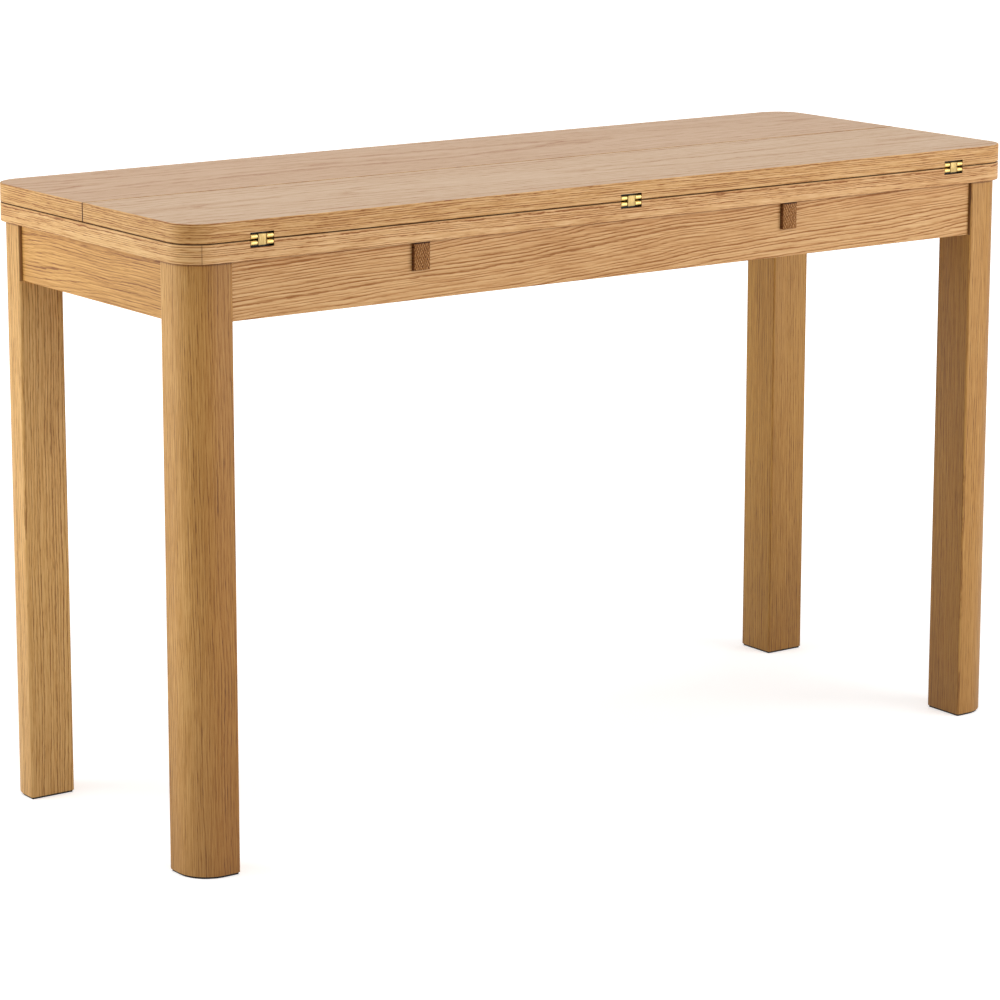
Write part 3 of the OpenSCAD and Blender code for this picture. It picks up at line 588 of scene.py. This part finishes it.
# %% Pick edges or faces, round and pull them
def pick(piece, kind, test):
    """Opens the piece and selects the edges or faces that pass the test, which
    is given the part and the middle of it."""
    only(piece)
    bpy.ops.object.mode_set(mode="EDIT")
    bpy.ops.mesh.select_mode(type=kind)
    bpy.ops.mesh.select_all(action="DESELECT")
    mesh = bmesh.from_edit_mesh(piece.data)
    for part in mesh.edges if kind == "EDGE" else mesh.faces:
        middle = sum((v.co for v in part.verts), Vector()) / len(part.verts)
        part.select_set(test(part, middle))
    mesh.select_flush_mode()
    bmesh.update_edit_mesh(piece.data)


def close():
    """Ends the edit that pick began."""
    bpy.ops.object.mode_set(mode="OBJECT")


def runs(edge, axis):
    """True for an edge that runs along the axis, 0, 1 or 2."""
    step = (edge.verts[1].co - edge.verts[0].co).normalized()
    return abs(step[axis]) > 0.99


def upright_at(*corners):
    """A test for upright edges at these corners, each given as X and Y."""
    return lambda edge, middle: runs(edge, 2) and any(
        (middle.xy - Vector(corner)).length < MM for corner in corners)


def round_edges(piece, radius, segments, test):
    """Rounds the edges that pass the test."""
    pick(piece, "EDGE", test)
    bpy.ops.mesh.bevel(offset=radius, segments=segments, affect="EDGES")
    close()


def pull(x, y, z):
    """Pulls the faces that are selected out by so much."""
    bpy.ops.mesh.extrude_region_move(TRANSFORM_OT_translate={"value": (x, y, z)})


print("made:", pick.__name__, round_edges.__name__, pull.__name__)

# %% [markdown]
# Modifiers do what would take many picks. A Boolean cuts one piece with another,
# and a bevel breaks all sharp edges at once. Each is applied right away, so that
# the next step works on the finished mesh.

# %% Cut and finish
def modify(piece, kind, **settings):
    """Adds a modifier with its settings and applies it."""
    only(piece)
    modifier = piece.modifiers.new(kind.title(), kind)
    for key, value in settings.items():
        setattr(modifier, key, value)
    bpy.ops.object.modifier_apply(modifier=modifier.name)


def carve(piece, tool, how="DIFFERENCE"):
    """Cuts a tool piece out, or welds it on, and takes the tool away."""
    modify(piece, "BOOLEAN", object=tool, operation=how, solver="EXACT")
    bpy.data.objects.remove(tool)


def soften(piece, width, segments=2, angle=40):
    """Breaks every sharp edge, as sanding or tumbling does."""
    modify(piece, "BEVEL", width=width, segments=segments, limit_method="ANGLE",
           angle_limit=math.radians(angle), harden_normals=False)


def smooth(piece, angle=32):
    """Smooth shading, except at edges sharper than the angle."""
    only(piece)
    bpy.ops.object.shade_smooth_by_angle(angle=math.radians(angle))


print("made:", carve.__name__, soften.__name__, smooth.__name__)

# %% [markdown]
# The corners and both long edges are alike, so a piece is modelled once and copied,
# mirrored or turned half round. Then the piece gets its finish and is hung on the
# body that it rides on, and the CAD nodes that it stands for are hidden.

# %% Copy and hand over
def copy_of(piece, name, matrix):
    """A copy with its own mesh, moved by the matrix."""
    only(piece)
    bpy.ops.object.duplicate()
    twin = bpy.context.object
    twin.name = name
    twin.matrix_world = matrix
    settle(twin)
    if matrix.determinant() < 0:
        bpy.ops.object.mode_set(mode="EDIT")
        bpy.ops.mesh.select_all(action="SELECT")
        bpy.ops.mesh.normals_make_consistent(inside=False)
        close()
    return twin


def fit(piece, body, slot, material, *nodes):
    """Gives the piece its finish and body, and hides the nodes it stands for."""
    piece.data.materials.clear()
    piece.data.materials.append(material)
    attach(piece, body)
    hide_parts(*nodes)


MIRROR_X = Matrix.Diagonal((-1, 1, 1, 1))
MIRROR_Y = Matrix.Diagonal((1, -1, 1, 1))
HALF_TURN = Matrix.Diagonal((-1, -1, 1, 1))
CORNERS = (("front_left", Matrix.Identity(4)), ("front_right", MIRROR_X),
           ("rear_left", MIRROR_Y), ("rear_right", HALF_TURN))
LONG_EDGES = (("front", Matrix.Identity(4)), ("rear", HALF_TURN))
print("corners of the table:", [name for name, matrix in CORNERS])

# %% [markdown]
# ## Legs
# Each leg is a square post whose outer corner is rounded to the same line as the
# top, so the leg and the top read as one form. It is glued up from strips and
# veneered all round. A lathe or a curve could make the rounding. A cube with one
# edge bevelled by a large radius is shorter and keeps the three small edges crisp.
# The inner corner is cut to a flat behind the aprons, for the corner block.

# %% The front left leg
CORNER_R, EDGE_R = 39 * MM, 3 * MM
# Distance of the flat behind the aprons from the outer corner, along the diagonal
FLAT_AT, CUTTER, ABOVE = 72.44 * MM, 60 * MM, 10 * MM
low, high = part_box("leg_front_left")
leg = block("leg_front_left_oak", low, high)
outer = Vector((low.x, low.y, 0))
round_edges(leg, CORNER_R, 28, upright_at(outer.xy))
round_edges(leg, EDGE_R, 5, upright_at((low.x, high.y), (high.x, low.y), high.xy))
apron_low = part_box("apron_front")[0].z
cutter = block("flat_cutter", (FLAT_AT, -CUTTER, apron_low),
               (FLAT_AT + CUTTER, CUTTER, high.z + ABOVE))
cutter.rotation_euler = (0, 0, math.pi / 4)
cutter.location = outer
settle(cutter)
carve(leg, cutter)
soften(leg, 0.7 * MM)
smooth(leg)
print("leg faces:", len(leg.data.polygons))

# %% Four legs
for i, (corner, matrix) in enumerate(CORNERS):
    post = leg if i == 0 else copy_of(leg, "leg_" + corner + "_oak", matrix)
    fit(post, "base", "oak_leg", leg_oak[i], "leg_" + corner)
print("legs:", len(CORNERS))

# %% [markdown]
# ## Foot pads
# A thin black rubber pad under each leg keeps it off the floor. It follows the
# leg's outline a little inside it, and only its edge shows, as a dark line.

# %% Pads under the legs
PAD_MARGIN = 2 * MM
low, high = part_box("foot_pad_front_left")
pad = block("pad_front_left_rubber", low, high)
round_edges(pad, CORNER_R - PAD_MARGIN, 20, upright_at((low.x, low.y)))
soften(pad, 0.35 * MM)
smooth(pad)
for i, (corner, matrix) in enumerate(CORNERS):
    foot = pad if i == 0 else copy_of(pad, "pad_" + corner + "_rubber", matrix)
    fit(foot, "base", "foot_pad", rubber, "foot_pad_" + corner)
print("pad faces:", len(pad.data.polygons))

# %% [markdown]
# ## Supports
# Four bars slide out from under the fixed board and carry the opened leaves.
# Their outer ends show in the apron as darker end grain with broken edges. All
# twelve edges of a bar are eased, which a bevel on the whole piece does at once.

# %% Pull-out supports
for side in ("front_left", "front_right", "rear_left", "rear_right"):
    low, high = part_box("support_" + side)
    bar = block("pull_" + side + "_bar", low, high)
    end = low.y if side.startswith("front") else high.y
    round_edges(bar, 1.1 * MM, 3, lambda edge, middle: abs(middle.y - end) < 1e-5)
    soften(bar, 0.5 * MM)
    smooth(bar)
    fit(bar, side + "_support", "support_wood", support_oak, "support_" + side)
print("supports end in metres:", round(low.y, 4), round(high.y, 4))

# %% [markdown]
# ## Hinges
# Each leaf turns on three brass hinges with two pins each, so that it can fold
# flat on the board and also lie level with it. A plate is let into each board, its
# two knuckles end in the edge, and a link joins the two pins. The plate could be
# one curve turned into a solid. Built from a block, a strap and a rod that are
# welded by a Boolean, it keeps the crisp lines of cut brass, and the knuckles'
# ends are domed by a bevel. It is drawn at the origin: X along the edge, Y in
# from the edge, Z up from the face of the board.

# %% One hinge plate
PIN_IN, PIN_DOWN, BARREL, KNUCKLE = 2.405 * MM, 3.1 * MM, 2.85 * MM, 9.1 * MM
PLATE_TOP, PLATE_LOW = -0.4 * MM, -2.6 * MM
PLATE_HALF, PLATE_FROM, PLATE_TO = 15 * MM, 5.6 * MM, 32 * MM
SCREW_X, SCREW_Y, HOLE_R, SINK_R = 8.4 * MM, 20.23 * MM, 1.83 * MM, 3.5 * MM
STRAP_TO, PLATE_BORE, LINK_BORE = 6 * MM, 1.32 * MM, 1.36 * MM
# The screw heads lie this little below the plate's face
HAIR = 0.02 * MM
sink_deep = SINK_R - HOLE_R
sink_z = PLATE_TOP + HAIR - sink_deep / 2
plate = block("hinge_plate", (-PLATE_HALF, PLATE_FROM, PLATE_LOW),
              (PLATE_HALF, PLATE_TO, PLATE_TOP))
round_edges(plate, 2 * MM, 6, upright_at((-PLATE_HALF, PLATE_TO), (PLATE_HALF, PLATE_TO)))
for side in (-1, 1):
    x = side * (PLATE_HALF - KNUCKLE / 2)
    strap = block("strap", (x - KNUCKLE / 2, PIN_IN, PLATE_LOW),
                  (x + KNUCKLE / 2, STRAP_TO, PLATE_TOP))
    carve(plate, strap, "UNION")
    knuckle = rod("knuckle", BARREL, (x, PIN_IN, -PIN_DOWN), KNUCKLE, "X", 40)
    round_edges(knuckle, 0.8 * MM, 4,
                lambda edge, middle: abs(abs(middle.x - x) - KNUCKLE / 2) < 1e-5)
    carve(plate, knuckle, "UNION")
    carve(plate, rod("hole", HOLE_R, (side * SCREW_X, SCREW_Y, -2 * MM), 6 * MM))
    bpy.ops.mesh.primitive_cone_add(vertices=40, radius1=HOLE_R, radius2=SINK_R,
                                    depth=sink_deep,
                                    location=(side * SCREW_X, SCREW_Y, sink_z))
    carve(plate, bpy.context.object)
carve(plate, rod("bore", PLATE_BORE, (0, PIN_IN, -PIN_DOWN), 40 * MM, "X", 32))
smooth(plate, 30)
print("hinge plate faces:", len(plate.data.polygons))

# %% [markdown]
# ## The link and where the hinges go
# The link is a short flat bar that shows as a square plate between the knuckles.
# Its back is rounded so that it clears the pocket as it swings, its front edges are
# only eased. Plate and link are drawn once, and a matrix puts each copy in place:
# the leaves' plates are the fixed ones turned over, the rear's all half a turn round.

# %% The hinge link
HINGE_X = (-0.515, 0.0, 0.515)
FRONT, FIXED_FACE, LEAF_FACE = -0.226, 0.727, 0.728
low_pin, high_pin = FIXED_FACE - PIN_DOWN, LEAF_FACE + PIN_DOWN
pin_y = FRONT + PIN_IN
LINK_HALF, LINK_THICK = 5.3 * MM, 5.6 * MM
link = block("hinge_link", (-LINK_HALF, pin_y - LINK_THICK / 2, low_pin - BARREL),
             (LINK_HALF, pin_y + LINK_THICK / 2, high_pin + BARREL))
round_edges(link, 2.7 * MM, 10, lambda edge, middle: runs(edge, 0) and middle.y > pin_y)
soften(link, 0.8 * MM, 3)
for z in (low_pin, high_pin):
    carve(link, rod("bore", LINK_BORE, (0, pin_y, z), 20 * MM, "X", 32))
smooth(link, 30)
print("link faces:", len(link.data.polygons))

# %% Every plate and link in place
TURN_OVER = Matrix.Diagonal((1, 1, -1, 1))
# Edge, number, and the places of the fixed plate, the leaf's plate and the link
hinges = [(end, i, turn @ Matrix.Translation((x, FRONT, FIXED_FACE)),
           turn @ Matrix.Translation((x, FRONT, LEAF_FACE)) @ TURN_OVER,
           turn @ Matrix.Translation((x, 0, 0)))
          for end, turn in LONG_EDGES for i, x in enumerate(HINGE_X)]
for end, i, fixed, on_leaf, between in hinges:
    number = "_" + str(i + 1)
    fit(copy_of(plate, "hinge_" + end + "_fixed_plate" + number, fixed),
        "base", "brass", brass, end + "_fixed_hinge_plates")
    fit(copy_of(plate, "hinge_" + end + "_leaf_plate" + number, on_leaf),
        end + "_leaf_body", "brass", brass, end + "_leaf_hinge_plates")
    fit(copy_of(link, "hinge_" + end + "_link" + number, between),
        end + "_links", "brass", brass_flat, end + "_hinge_links")
for pattern in (plate, link):
    bpy.data.objects.remove(pattern)
print("hinge pieces:", 3 * len(hinges))

# %% [markdown]
# ## Screws
# Brass wood screws with flat heads hold the hinge plates, zinc ones with round
# heads the brackets, and long ones the keepers. A screw could be spun from a
# profile. Here a disc is pulled out ring by ring: down the cone of the head, along
# the shank and to the point. The recess for the driver is cut by a small block with
# its four sides pulled out to a cross. Two crossed blocks would share a floor, and
# where faces coincide a Boolean can give another mesh in each run.

# %% A screw, drawn point down with its head at z = 0
def make_screw(name, head, shank, length, dome=0.0):
    """Head and shank are radii, and dome is how far the head rises above its rim."""
    bpy.ops.mesh.primitive_circle_add(vertices=32, radius=head, fill_type="NGON")
    screw = bpy.context.object
    screw.name = name
    bpy.ops.object.mode_set(mode="EDIT")
    bpy.ops.mesh.select_all(action="SELECT")
    below = -(head - shank) if dome < 0.5 * MM else -0.1 * MM
    point = 2 * MM
    for down, size in ((below, shank / head), (point - length - below, 1.0),
                       (-point, 0.15)):
        pull(0, 0, down)
        bpy.ops.transform.resize(value=(size, size, 1))
    close()
    # The first disc has stayed at z = 0 and is raised to the dome
    pick(screw, "FACE", lambda face, middle: abs(middle.z) < 1e-7)
    for size, rise in ((0.8, 0.45), (0.45, 0.35)):
        pull(0, 0, dome * rise)
        bpy.ops.transform.resize(value=(size, size, 1))
    bpy.ops.mesh.select_all(action="SELECT")
    bpy.ops.mesh.normals_make_consistent(inside=False)
    close()
    half, arm, deep = head * 0.11, head * 0.465, head * 0.4
    driver = block("driver", (-half, -half, -deep), (half, half, dome + MM))
    for x, y in ((1, 0), (0, 1), (-1, 0), (0, -1)):
        pick(driver, "FACE",
             lambda face, middle: (middle.xy - Vector((x, y)) * half).length < 1e-6)
        pull(x * arm, y * arm, 0)
        close()
    carve(screw, driver)
    smooth(screw, 30)
    return screw


hinge_screw = make_screw("screw_hinge", head=3.4 * MM, shank=1.75 * MM, length=12.6 * MM)
print("screw faces:", len(hinge_screw.data.polygons))

# %% Hinge screws
at_plate = Matrix.Translation((0, SCREW_Y, PLATE_TOP - HAIR))
for end, i, fixed, on_leaf, between in hinges:
    for side in (-1, 1):
        beside = at_plate @ Matrix.Translation((side * SCREW_X, 0, 0))
        number = "_" + str(2 * i + (1 if side < 0 else 2))
        fit(copy_of(hinge_screw, "screw_" + end + "_fixed" + number, fixed @ beside),
            "base", "brass", brass, "fixed_hinge_screws")
        fit(copy_of(hinge_screw, "screw_" + end + "_leaf" + number, on_leaf @ beside),
            end + "_leaf_body", "brass", brass, end + "_leaf_hinge_screws")
bpy.data.objects.remove(hinge_screw)
print("hinge screws:", 4 * len(hinges))

# %% [markdown]
# ## Under the top: bolts, brackets and keepers
# These don't show from above, but they hold the table together: a washer and a nut
# on each hanger bolt, sheet-steel angles between aprons and top, and long screws
# through the keepers that the supports slide on. An angle is one small block whose
# faces are pulled out to two arms, with the bend rounded afterwards. Three felt
# bumpers at the free edge of each leaf keep it off the fixed board.

# %% Nuts and washers
NUT_R, NUT_BORE, NUT_T = 7.44 * MM, 4.1 * MM, 6.5 * MM
WASHER_R, WASHER_BORE, WASHER_T = 8.8 * MM, 4.3 * MM, 1.6 * MM
# Distance of the washers from the leg's outer corner, and the heights of the bolts
WASHER_AT, BOLT_Z = 104.44 * MM, (0.656, 0.686)
nut = rod("nut", NUT_R, (0, 0, NUT_T / 2), NUT_T, "Z", 6)
soften(nut, 0.6 * MM, 3)
carve(nut, rod("bore", NUT_BORE, (0, 0, 0), 40 * MM, "Z", 32))
smooth(nut)
washer = rod("washer", WASHER_R, (0, 0, WASHER_T / 2), WASHER_T)
carve(washer, rod("bore", WASHER_BORE, (0, 0, 0), 40 * MM, "Z", 32))
soften(washer, 0.3 * MM)
smooth(washer)
low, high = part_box("leg_front_left")
outer = Vector((low.x, low.y, 0))
diagonal = Matrix.Rotation(math.pi / 4, 4, "Z") @ Matrix.Rotation(math.pi / 2, 4, "Y")
inward = Vector((1, 1, 0)).normalized()
for corner, matrix in CORNERS:
    for i, z in enumerate(BOLT_Z):
        for pattern, along, node in ((washer, WASHER_AT, "bolt_washers"),
                                     (nut, WASHER_AT + WASHER_T, "bolt_nuts")):
            spot = Matrix.Translation(outer + inward * along + Vector((0, 0, z)))
            fit(copy_of(pattern, pattern.name + "_" + corner + "_" + str(i + 1),
                        matrix @ spot @ diagonal), "base", "zinc_steel", zinc, node)
for pattern in (nut, washer):
    bpy.data.objects.remove(pattern)
print("nuts and washers:", 2 * len(CORNERS) * len(BOLT_Z))

# %% An angle bracket
ARM, SHEET, SCREW_HOLE, CLOSE_BY = 20 * MM, 2 * MM, 1.95 * MM, 0.1 * MM
angle = block("angle", (-ARM / 2, 0, -SHEET), (ARM / 2, SHEET, 0))
pick(angle, "FACE", lambda face, middle: face.normal.y > 0.9)
pull(0, ARM - SHEET, 0)
close()
pick(angle, "FACE", lambda face, middle: face.normal.z < -0.9 and middle.y < SHEET)
pull(0, 0, SHEET - ARM)
close()
for y, z, radius in ((0, 0, 2.6 * MM), (SHEET, -SHEET, 0.8 * MM)):
    round_edges(angle, radius, 6, lambda edge, middle: runs(edge, 0)
                and abs(middle.y - y) + abs(middle.z - z) < 1e-5)
round_edges(angle, 3 * MM, 5, lambda edge, middle: abs(middle.x) > ARM / 2 - CLOSE_BY
            and (middle.y > ARM - CLOSE_BY or middle.z < CLOSE_BY - ARM))
carve(angle, rod("hole", SCREW_HOLE, (0, ARM / 2, 0), ARM))
carve(angle, rod("hole", SCREW_HOLE, (0, 0, -ARM / 2), ARM, "Y"))
smooth(angle)
print("bracket faces:", len(angle.data.polygons))

# %% Eight brackets with their screws
# Places of the bends: three inside each long apron, one inside each short one
BRACKET_X, BRACKET_Y, BRACKET_END_X, FRAME_Z = 0.4321, 0.1966, 0.5846, 0.705
UPSIDE_DOWN = Matrix.Rotation(math.pi, 4, "X")
round_screw = make_screw("screw_round", head=3.4 * MM, shank=1.75 * MM, length=13 * MM,
                         dome=2.0 * MM)
places = [(x, -BRACKET_Y, 0) for x in (-BRACKET_X, 0, BRACKET_X)]
places += [(x, BRACKET_Y, 180) for x in (-BRACKET_X, 0, BRACKET_X)]
places += [(-BRACKET_END_X, 0, -90), (BRACKET_END_X, 0, 90)]
into_top = Matrix.Translation((0, ARM / 2, -SHEET)) @ UPSIDE_DOWN
into_apron = Matrix.Translation((0, SHEET, -ARM / 2)) @ Matrix.Rotation(-math.pi / 2, 4, "X")
for i, (x, y, turn) in enumerate(places):
    place = Matrix.Translation((x, y, FRAME_Z)) @ Matrix.Rotation(math.radians(turn), 4, "Z")
    fit(copy_of(angle, "bracket_" + str(i + 1), place),
        "base", "zinc_steel", zinc, "top_brackets")
    for word, way in (("top", into_top), ("apron", into_apron)):
        fit(copy_of(round_screw, "bracket_screw_" + word + "_" + str(i + 1), place @ way),
            "base", "zinc_steel", zinc, "bracket_screws")
for pattern in (angle, round_screw):
    bpy.data.objects.remove(pattern)
print("brackets:", len(places))

# %% Keeper screws
# Each keeper has three rows of three screws, through the three rails above it
PAIR_X, RAIL_X, ROW_Y, HEAD_Z = 0.2736, 0.0464, 0.16514, 0.66222
long_screw = make_screw("screw_long", head=4.3 * MM, shank=2.2 * MM, length=54.8 * MM)
count = 0
for side in (-1, 1):
    for off in (-RAIL_X, 0, RAIL_X):
        for y in (-ROW_Y, 0, ROW_Y):
            count += 1
            spot = Matrix.Translation((side * PAIR_X + off, y, HEAD_Z)) @ UPSIDE_DOWN
            fit(copy_of(long_screw, "keeper_screw_" + str(count), spot),
                "base", "zinc_steel", zinc, "keeper_screws")
bpy.data.objects.remove(long_screw)
print("keeper screws:", count)

# %% Felt bumpers
BUMPER_R = 5 * MM
low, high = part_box("front_leaf_bumpers")
for end, turn in LONG_EDGES:
    for i, x in enumerate((low.x + BUMPER_R, 0, high.x - BUMPER_R)):
        dot = rod("dot", BUMPER_R, (x, (low.y + high.y) / 2, (low.z + high.z) / 2),
                  high.z - low.z, "Z", 32)
        soften(dot, 0.25 * MM)
        smooth(dot)
        fit(copy_of(dot, "bumper_" + end + "_" + str(i + 1), turn),
            end + "_leaf_body", "felt", felt, end + "_leaf_bumpers")
        bpy.data.objects.remove(dot)
print("bumper thickness in mm:", round((high.z - low.z) / MM, 2))

# %% [markdown]
# ## Stage and light
# The photograph has a plain white ground with no shadow. Soft boxes light the
# front and the left end, a third one hangs above, and what the camera, a
# reflection or a clear thing sees of the surroundings is plain white.

# %% Floor
def seen_directly(tree):
    """1 for what the camera sees, also in a mirror or through glass, 0 for light."""
    path = add_node(tree, "LightPath", out=None).outputs
    seen = add_node(tree, "Math", path["Is Camera Ray"], path["Is Glossy Ray"],
                    operation="MAXIMUM")
    return add_node(tree, "Math", seen, path["Is Transmission Ray"], operation="MAXIMUM")


bpy.ops.mesh.primitive_plane_add(size=30, location=(0, 0, 0))
floor = bpy.context.object
floor.name = "studio_floor"
paper, tree, shader, place = new_material("paper_white_studio")
shader.inputs["Base Color"].default_value = linear("F2F2F2")
shader.inputs["Roughness"].default_value = 1.0
shader.inputs["Specular IOR Level"].default_value = 0.0
shader.inputs["Emission Color"].default_value = (1, 1, 1, 1)
# The paper is lit less far away, so it gets brighter there to stay white
away = add_node(tree, "VectorMath", place, operation="LENGTH", out="Value")
fill = add_node(tree, "MapRange", away, 0.8, 2.2, 0.5, 1.0)
seen = add_node(tree, "Math", seen_directly(tree), fill, operation="MULTIPLY")
tree.links.new(seen, shader.inputs["Emission Strength"])
floor.data.materials.append(paper)
print("floor:", floor.name, paper.name)

# %% Lamps and white surroundings
def soft_box(name, azimuth, elevation, distance, width, height, power):
    """A rectangular lamp that looks at the middle of the table."""
    data = bpy.data.lights.new(name, "AREA")
    data.shape = "RECTANGLE"
    data.size, data.size_y, data.energy = width, height, power
    lamp = bpy.data.objects.new(name, data)
    a, e = math.radians(azimuth), math.radians(elevation)
    aim = Vector((0, 0, 0.45))
    away = Vector((math.sin(a) * math.cos(e), -math.cos(a) * math.cos(e), math.sin(e)))
    lamp.location = aim + away * distance
    lamp.rotation_euler = away.to_track_quat("Z", "Y").to_euler()
    bpy.context.scene.collection.objects.link(lamp)


# Azimuth and elevation in degrees; distance, width and height in m; power in W
for row in (("soft_box_front", 34, 15, 4.4, 3.0, 2.4, 80),
            ("soft_box_left", -114, 14, 2.1, 1.5, 1.7, 18),
            ("soft_box_above", 0, 88, 3.0, 2.6, 1.8, 32)):
    soft_box(*row)

world = bpy.data.worlds.new("white_surroundings")
bpy.context.scene.world = world
world.use_nodes = True
tree = world.node_tree
background = tree.nodes["Background"]
# White where it is seen, and dimmer where it gives light
AS_LAMP = 0.45
level = add_node(tree, "Math", seen_directly(tree), 1 - AS_LAMP, AS_LAMP,
                 operation="MULTIPLY_ADD")
background.inputs["Color"].default_value = (1, 1, 1, 1)
tree.links.new(level, background.inputs["Strength"])
bpy.context.scene.view_settings.view_transform = "Standard"
